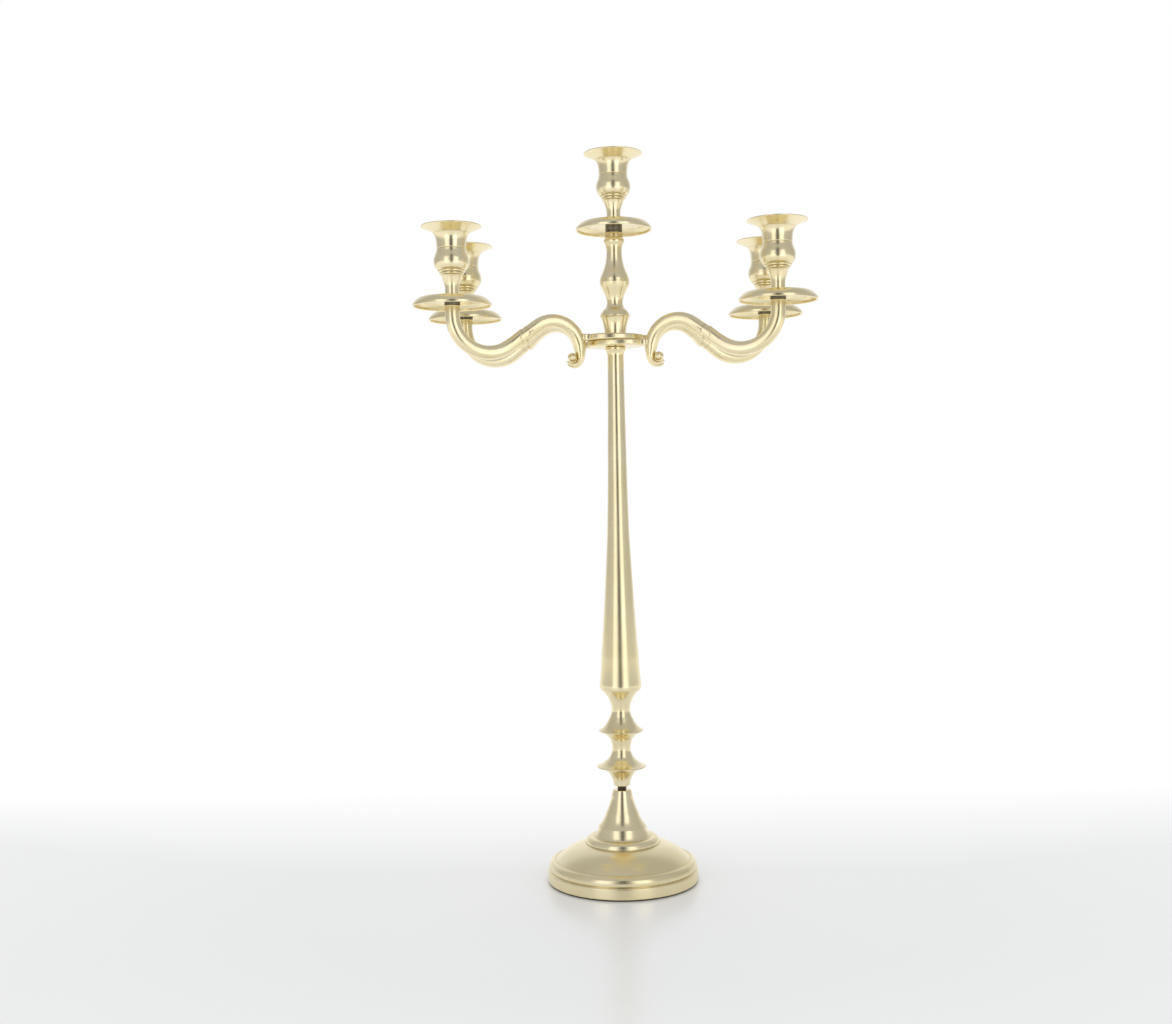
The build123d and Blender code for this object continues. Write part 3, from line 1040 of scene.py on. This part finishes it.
@dataclass
class DoubleArm:
    """One casting: an eye on the hub stud with a scrolled arm to each side."""

    name: str
    finishes: Finishes
    angles: Point = (0.0, 180.0)
    around: int = 84
    eye_half: Point = (32.6, 24.3)
    web: float = 6.6
    web_reach: float = 39.0
    bore: float = 4.06
    thickness: float = 6.4
    turn_gap: float = 0.1
    rise: float = 10.3
    ball: Point = (4.7, 6.6)
    fullness: float = 0.92
    half_depth: tuple[Point, ...] = ((0.0, 0.9), (7.0, 1.5), (14.0, 2.5), (20.0, 4.1), (28.0, 6.0),
                                     (36.0, 7.1), (70.0, 7.0), (110.0, 6.9), (140.0, 7.4), (225.0, 7.6))
    half_width: tuple[Point, ...] = ((0.0, 2.9), (10.0, 4.6), (20.0, 5.9), (32.0, 6.8), (70.0, 7.0),
                                     (110.0, 6.9), (140.0, 7.4), (225.0, 7.6))
    leaf_middle: float = 0.497
    leaf_over: float = 1.0
    leaf_under: float = 2.1
    leaf_length: float = 13.0
    leaf_point: float = 8.0

    def section(self) -> np.ndarray:
        """Give the arm's unit section: (cos t, sin t), each to the power of its fullness.

        Returns:
            Points by sideways and in-plane share.
        """
        turn = np.linspace(0.0, 2 * math.pi, self.around, endpoint=False)
        unit = np.stack([np.cos(turn), np.sin(turn)], axis=1)
        return np.sign(unit) * np.abs(unit) ** self.fullness

    def arm_patch(self, angle: float, path: ArmPath) -> Patch:
        """Carry the section along the path.

        A point is the centreline plus the section's share of the half width across the arm's
        plane and of the half depth along the line's normal.  Two leaves wrap the middle of
        the arm: the outer one laps over the top and ends in a point towards the hub, the
        inner one laps under the bottom and ends in a point towards the candle.  Each stands
        proud by its step at its pointed edge and sinks evenly back along its length.

        Args:
            angle: The arm's direction in degrees.
            path: Its centreline.

        Returns:
            The closed surface.
        """
        line = path.points()
        along = np.concatenate([[0.0], np.cumsum(np.linalg.norm(np.diff(line, axis=0), axis=1))])
        length = along[-1]
        middle = length * self.leaf_middle
        density = 1.0 / 1.5 + 2.6 * np.exp(-((along - middle) / 11.0) ** 2) + 1.2 * np.exp(-along / 14.0)
        total = np.concatenate([[0.0], np.cumsum((density[1:] + density[:-1]) / 2 * np.diff(along))])
        stations = np.interp(np.linspace(0.0, total[-1], int(total[-1])), total, along)
        centre = np.stack([np.interp(stations, along, line[:, c]) for c in range(2)], axis=1)
        tangent = np.gradient(centre, stations, axis=0)
        tangent /= np.linalg.norm(tangent, axis=1, keepdims=True)
        normal = np.stack([-tangent[:, 1], tangent[:, 0]], axis=1)
        places, depths = np.array(self.half_depth).T
        depth = np.interp(stations, places, depths)
        places, widths = np.array(self.half_width).T
        width = np.interp(stations, places, widths)
        side, rise = self.section().T

        place = stations[:, None] - middle
        upper = np.clip(rise, 0.0, 1.0)
        lower = np.clip(-rise, 0.0, 1.0)
        over = place - (self.leaf_point * (1 - upper) - 2.0)
        under = (2.0 - self.leaf_point * (1 - lower)) - place
        edge = 0.9
        lap_over = np.clip(over / edge, 0.0, 1.0) * np.clip(1 - over / self.leaf_length, 0.0, 1.0)
        lap_under = np.clip(under / edge, 0.0, 1.0) * np.clip(1 - under / self.leaf_length, 0.0, 1.0)
        proud = self.leaf_over * lap_over * upper ** 0.5 + self.leaf_under * lap_under * lower ** 0.5
        # Painted shade along the leaf edges: this value only darkens the plate there, through the hollow
        # value.
        leaf_edge_shade = np.exp(-(np.minimum(np.abs(over), np.abs(under)) / 1.2) ** 2)
        a = math.radians(angle)
        out, across = np.array((math.cos(a), math.sin(a))), np.array((math.sin(a), -math.cos(a)))
        spread = side * (width[:, None] + proud)
        lift = rise * (depth[:, None] + proud)
        radius = centre[:, :1] + lift * normal[:, :1]
        height = centre[:, 1:] + lift * normal[:, 1:]
        grid = np.stack([radius * out[0] + spread * across[0],
                         radius * out[1] + spread * across[1], height], axis=-1)
        return grid_patch(grid[:, ::-1], False, (leaf_edge_shade * 0.6)[:, ::-1])

    def eye_patch(self, angle: float, bottom: float) -> Patch:
        """Make the eye: a thick oval plate with rounded edges, webs to both arms and a bore.

        Its reach at angle t is the larger of the oval's and the webs', blended over 1 mm.

        Args:
            angle: Direction of the casting in degrees.
            bottom: Height of its underside.

        Returns:
            The closed surface.
        """
        thickness = self.thickness
        turn = np.linspace(0.0, 2 * math.pi, 240, endpoint=False)
        long, short = self.eye_half
        oval = long * short / np.hypot(short * np.cos(turn), long * np.sin(turn))
        web = np.minimum(self.web_reach / np.maximum(np.abs(np.cos(turn)), 1e-3),
                         self.web / np.maximum(np.abs(np.sin(turn)), 1e-3))
        reach = np.log(np.exp(oval) + np.exp(web))
        corner = 1.9
        quarter = np.linspace(0.0, math.pi / 2, 7)
        inset = np.concatenate([corner - corner * np.sin(quarter), corner - corner * np.cos(quarter)])
        rise = np.concatenate([corner - corner * np.cos(quarter),
                               thickness - corner + corner * np.sin(quarter)])
        reaches = np.concatenate([[self.bore, 12.0], np.zeros(len(inset)), [12.0, self.bore]])
        heights = np.concatenate([[0.0, 0.0], rise, [thickness, thickness]])
        insets = np.concatenate([[0.0, 0.0], inset, [0.0, 0.0]])
        radius = np.where(reaches[:, None] > 0, reaches[:, None], reach[None, :] - insets[:, None])
        a = turn + math.radians(angle)
        grid = np.stack([radius * np.cos(a), radius * np.sin(a),
                         np.broadcast_to(bottom + heights[:, None], radius.shape)], axis=-1)
        return grid_patch(grid, True)

    def ball_patch(self, angle: float, centre: Point) -> Patch:
        """Make the boss that the curl closes on: an ellipsoid, longest across the arm.

        Args:
            angle: The arm's direction in degrees.
            centre: Radius and height of its middle.

        Returns:
            The closed surface.
        """
        small, wide = self.ball
        around = np.linspace(0.0, 2 * math.pi, 48, endpoint=False)[None, :]
        tilt = np.linspace(-math.pi / 2, math.pi / 2, 30)[1:-1, None]
        radius = centre[0] + small * np.cos(tilt) * np.cos(around)
        height = centre[1] + small * np.cos(tilt) * np.sin(around)
        spread = np.broadcast_to(wide * np.sin(tilt), radius.shape)
        a = math.radians(angle)
        grid = np.stack([radius * math.cos(a) - spread * math.sin(a),
                         radius * math.sin(a) + spread * math.cos(a), height], axis=-1)
        return grid_patch(grid[:, ::-1], False)

    def build(self) -> None:
        """Build the casting on its body from the places of its pans."""
        body = f"{self.name}_arms"
        high = node_box(f"{self.name}_arm")[1]
        hub_low = node_box("stem")[1][2] if self.name == "lower" else node_box("centre_post")[0][2]
        if self.name == "lower":
            bottom = hub_low + self.turn_gap
        else:
            bottom = hub_low - self.turn_gap - self.thickness
        patch = self.eye_patch(self.angles[0], bottom)
        for angle in self.angles:
            side = "right" if math.cos(math.radians(angle)) > 0 else "left"
            seat = node_foot(f"{self.name}_{side}_pan")
            reach = float(np.hypot(seat[0], seat[1]))
            # A dark ring under each arm's pan stands in for the shadow in the gap there.
            ring = ShadowRing(f"{self.name}_{side}", self.finishes)
            ring.build(body, np.array((seat[0], seat[1], high[2])))
            top = high[2] - ring.height
            path = ArmPath(reach=reach, top=top, bowl_z=top - self.rise)
            patch = patch.joined(self.arm_patch(angle, path))
            patch = patch.joined(self.ball_patch(angle, path.curl_centre))
        piece = make_piece(f"{self.name}_arm_casting", patch, self.finishes.cast)
        install(piece, body, f"{self.name}_arm")


@dataclass
class Fasteners:
    """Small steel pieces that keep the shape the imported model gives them."""

    finishes: Finishes

    def build(self) -> None:
        """Dress every steel node that nothing replaces."""
        record = frame["record"]
        slots = {row["node"]: row["material_slot"] for row in record["subparts"]}
        for node, piece in frame["nodes"].items():
            if slots[node] == Slot.STEEL.value and node != "base_stud":
                piece.material_slots[0].material = self.finishes.steel
                LOG.info("%s: steel", node)


# ------------------------------------------------------------------ studio
@dataclass
class Studio:
    """Pale floor, white surround, soft lights and the camera."""

    distance: float = 1.470
    eye_height: float = 0.4286
    lens: float = 41.9
    aim: Point = (0.0230938, 0.0206745)
    lean: float = 0.85
    floor_radius: float = 6.0
    walls: tuple[Point, ...] = ((0.0, 0.56), (0.25, 0.50), (0.72, 0.50), (0.9, 0.76))
    slot_half_width: float = 0.25
    slot_glow: float = 0.06

    def staged(self, name: str, corners: list[Point], material: bpy.types.Material) -> bpy.types.Object:
        """Put one flat face of the studio on the stage.

        Args:
            name: Its name.
            corners: Its corners in metres.
            material: Its finish.

        Returns:
            The new object.
        """
        mesh = bpy.data.meshes.new(name)
        mesh.from_pydata(corners, [], [list(range(len(corners)))])
        mesh.materials.append(material)
        piece = bpy.data.objects.new(name, mesh)
        bpy.context.scene.collection.objects.link(piece)
        return piece

    def floor(self) -> None:
        """Lay a pale, slightly glossy floor that fades into the white surround."""
        tree = NodeTree("studio_floor")
        gradient = tree.add("ShaderNodeVectorMath", operation="LENGTH")
        tree.link(tree.coordinates, "Object", gradient, 0)
        far = tree.spread(gradient, "Value", (0.35, 0.0), (1.6, 1.0))
        parts = tree.add("ShaderNodeSeparateXYZ")
        tree.link(tree.coordinates, "Object", parts, 0)
        behind = tree.spread(parts, "Y", (0.03, 0.0), (0.42, 1.0))
        fade = tree.add("ShaderNodeMath", operation="MAXIMUM")
        tree.link(far, "Result", fade, 0)
        tree.link(behind, "Result", fade, 1)
        glow = tree.add("ShaderNodeEmission", Strength=1.0)
        glow.inputs["Color"].default_value = (1.0, 1.0, 1.0, 1.0)
        mix = tree.add("ShaderNodeMixShader")
        tree.link(fade, "Value", mix, 0)
        tree.link(tree.shader, "BSDF", mix, 1)
        tree.link(glow, "Emission", mix, 2)
        tree.link(mix, "Shader", tree.output, "Surface")
        tree.shader.inputs["Base Color"].default_value = (0.90, 0.91, 0.90, 1.0)
        tree.shader.inputs["Roughness"].default_value = 0.22
        tree.shader.inputs["Specular IOR Level"].default_value = 0.5
        angle = np.linspace(0.0, 2 * math.pi, 96, endpoint=False)
        ring = np.stack([np.cos(angle), np.sin(angle), np.zeros(96)], axis=1) * self.floor_radius
        self.staged("studio_floor", ring.tolist(), tree.material)

    def surround(self) -> None:
        """Surround the scene with white walls, greyer at the sides in what the metal reflects."""
        world = bpy.data.worlds.new("studio_surround")
        bpy.context.scene.world = world
        world.use_nodes = True
        nodes, links = world.node_tree.nodes, world.node_tree.links
        nodes.clear()
        out = nodes.new("ShaderNodeOutputWorld")
        seen, lit = nodes.new("ShaderNodeBackground"), nodes.new("ShaderNodeBackground")
        seen.inputs["Color"].default_value = (1.0, 1.0, 1.0, 1.0)
        direction, parts = nodes.new("ShaderNodeTexCoord"), nodes.new("ShaderNodeSeparateXYZ")
        links.new(direction.outputs["Generated"], parts.inputs[0])
        walls = nodes.new("ShaderNodeValToRGB")
        walls.color_ramp.interpolation = "EASE"
        stops = [walls.color_ramp.elements[0], walls.color_ramp.elements[1]]
        stops += [walls.color_ramp.elements.new(0.5) for _ in range(len(self.walls) - 2)]
        for stop, (_, grey) in zip(stops, self.walls):
            stop.color = (grey, grey, grey * 1.03, 1.0)
        for stop, (place, _) in zip(stops, self.walls):
            stop.position = place
        depth = nodes.new("ShaderNodeMapRange")
        depth.inputs["From Min"].default_value = -1.0
        links.new(parts.outputs["Y"], depth.inputs["Value"])
        links.new(depth.outputs["Result"], walls.inputs["Fac"])
        links.new(walls.outputs["Color"], lit.inputs["Color"])
        path, mix = nodes.new("ShaderNodeLightPath"), nodes.new("ShaderNodeMixShader")
        links.new(path.outputs["Is Camera Ray"], mix.inputs[0])
        links.new(lit.outputs[0], mix.inputs[1])
        links.new(seen.outputs[0], mix.inputs[2])
        links.new(mix.outputs[0], out.inputs[0])

    def slot_board(self) -> None:
        """Stand a dark board behind the camera: the slot it looks through, seen only in the metal."""
        tree = NodeTree("slot_board")
        glow = tree.add("ShaderNodeEmission", Strength=self.slot_glow)
        glow.inputs["Color"].default_value = (1.0, 0.95, 0.85, 1.0)
        tree.link(glow, "Emission", tree.output, "Surface")
        half, top, back = self.slot_half_width, 2.4, -1.62
        corners = [(-half, back, 0.0), (half, back, 0.0), (half, back, top), (-half, back, top)]
        board = self.staged("slot_board", corners, tree.material)
        board.visible_camera = False
        board.visible_shadow = False
        board.visible_diffuse = False

    def softbox(self, name: str, place: Point, size: Point, watts: float,
                mirrored: bool = True) -> None:
        """Hang a rectangular soft light that faces the middle of the object.

        Args:
            name: The light's name.
            place: Its position in metres.
            size: Width and height in metres.
            watts: Its power.
            mirrored: Whether the metal reflects it.
        """
        light = bpy.data.lights.new(name, "AREA")
        light.shape = "RECTANGLE"
        light.size, light.size_y = size
        light.energy = watts
        lamp = bpy.data.objects.new(name, light)
        bpy.context.scene.collection.objects.link(lamp)
        back = np.array(place) - np.array((0.0, 0.0, 0.42))
        back /= np.linalg.norm(back)
        right = np.cross((0.0, 0.0, 1.0), back)
        right /= np.linalg.norm(right)
        rotation = np.eye(4)
        rotation[:3, :3] = np.stack([right, np.cross(back, right), back], axis=1)
        rotation[:3, 3] = place
        lamp.matrix_world = Matrix(rotation.tolist())
        lamp.visible_camera = False
        lamp.visible_glossy = mirrored

    def lights(self) -> None:
        """Hang two tall soft lights beside the camera and one overhead."""
        self.softbox("front_left_light", (-0.85, -1.45, 0.62), (0.8, 1.9), 3.1)
        self.softbox("front_right_light", (0.85, -1.45, 0.62), (0.8, 1.9), 3.8)
        self.softbox("top_light", (0.0, 0.25, 2.2), (1.7, 1.5), 17.0, mirrored=False)

    def camera(self) -> None:
        """Stand the camera in front, level with the middle of the stem, leaning a little."""
        data = bpy.data.cameras.new("camera")
        data.sensor_width = 36.0
        data.lens = self.lens
        ahead = np.array((self.aim[0], self.aim[1], -1.0))
        ahead /= np.linalg.norm(ahead)
        lean = math.radians(self.lean)
        up = np.array((-math.sin(lean), math.cos(lean), 0.0))
        up -= ahead * (up @ ahead)
        up /= np.linalg.norm(up)
        pose = np.eye(4)
        pose[:3, :3] = np.stack([np.cross(ahead, up), ahead, up], axis=0)
        pose[:3, 3] = (0.0, -self.distance, self.eye_height)
        camera = bpy.data.objects.new("camera", data)
        bpy.context.scene.collection.objects.link(camera)
        camera.matrix_world = Matrix(pose.tolist())
        bpy.context.scene.camera = camera

    def build(self) -> None:
        """Set up the studio."""
        bpy.context.scene.view_settings.view_transform = "Standard"
        self.camera()
        self.floor()
        self.surround()
        self.slot_board()
        self.lights()


def arm_angles(name: str) -> Point:
    """Read a double arm's two directions, in degrees, from the places of its pans."""
    found = []
    for side in ("right", "left"):
        seat = node_foot(f"{name}_{side}_pan")
        found.append(math.degrees(math.atan2(seat[1], seat[0])))
    return tuple(found)


def main() -> None:
    """Build the studio, the stand, the arms and the lights."""
    logging.basicConfig(level=logging.INFO, format="%(name)s: %(message)s")
    Studio().build()
    finishes = Finishes()
    Base(finishes).build()
    Stem(finishes).build()
    CentrePost(finishes).build()
    for name in ("lower", "upper"):
        DoubleArm(name, finishes, arm_angles(name)).build()
    for body, nodes in frame["record"]["behaviour"]["bodies"].items():
        for node in sorted(n for n in nodes if n.endswith("_pan")):
            Light(node.removesuffix("_pan"), body, finishes).build()
    Fasteners(finishes).build()


if __name__ == "__main__":
    main()
